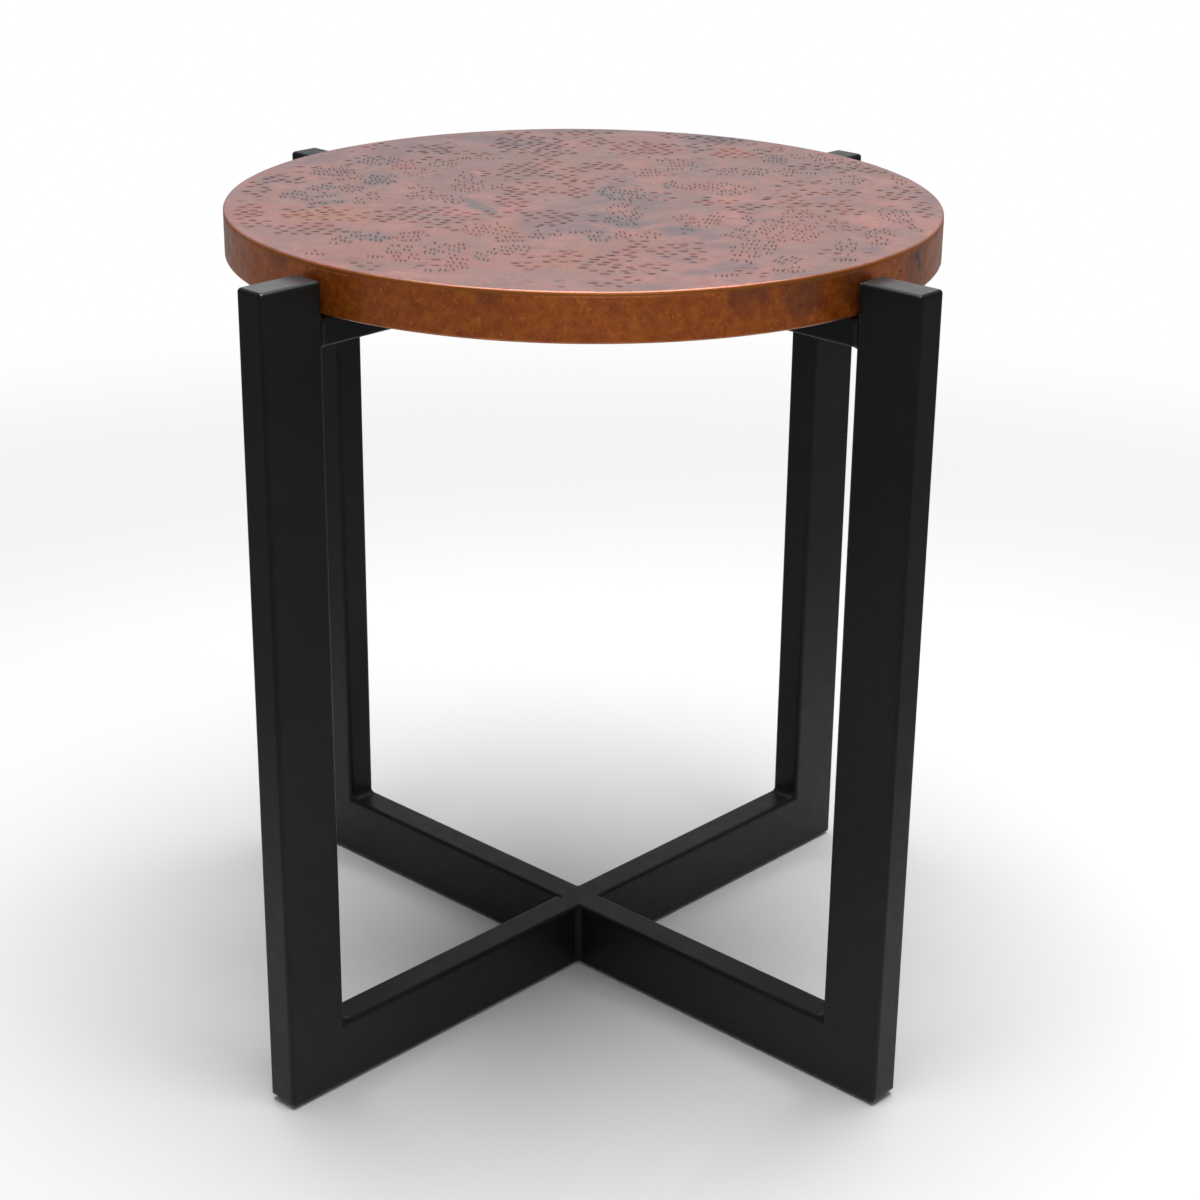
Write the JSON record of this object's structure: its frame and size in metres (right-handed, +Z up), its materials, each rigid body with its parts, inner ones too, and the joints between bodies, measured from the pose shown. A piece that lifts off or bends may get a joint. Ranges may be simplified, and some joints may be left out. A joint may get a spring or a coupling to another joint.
{
  "type": "tray table",
  "caption": "Round side table: a thick copper-clad tray top dropped in between the leg tips of two crossed frames of welded black steel tube.",
  "frame": {"origin": "centre of the base on the floor", "axes": "+Z up through the middle of the tray; one tube frame lies in the XZ plane and the other in the YZ plane"},
  "size_m": [0.613, 0.613, 0.61],
  "materials": {
    "powder_coat": "satin black powder coat",
    "foot_pad": "matte",
    "felt": "matte felt",
    "core_board": "raw board",
    "copper_top": "hammered copper, rose patina under clear lacquer",
    "copper_rim": "copper, amber flame patina under clear lacquer",
    "backing": "black painted hardboard",
    "tack_metal": "copper plated"
  },
  "bodies": {
    "base": {"leg_front": "powder_coat", "leg_right": "powder_coat", "leg_back": "powder_coat", "leg_left": "powder_coat", "leg_cap_front": "powder_coat", "leg_cap_right": "powder_coat", "leg_cap_back": "powder_coat", "leg_cap_left": "powder_coat", "lower_rail_long": "powder_coat", "lower_rail_front": "powder_coat", "lower_rail_back": "powder_coat", "upper_rail_long": "powder_coat", "upper_rail_front": "powder_coat", "upper_rail_back": "powder_coat", "lower_corner_welds": "powder_coat", "upper_corner_welds": "powder_coat", "lower_crossing_welds": "powder_coat", "upper_crossing_welds": "powder_coat", "crossing_fillers": "powder_coat", "foot_pad_front": "foot_pad", "foot_pad_right": "foot_pad", "foot_pad_back": "foot_pad", "foot_pad_left": "foot_pad", "rest_pads": "felt"},
    "tray": {"tray_core": "core_board", "tray_top_sheet": "copper_top", "tray_rim_band": "copper_rim", "tray_backing": "backing", "lip_tacks": "tack_metal"}
  },
  "joints": [
    {"name": "tray_lift", "type": "slide", "parent": "base", "child": "tray", "axis": [0, 0, 1], "range_m": [0, 0.1]}
  ]
}
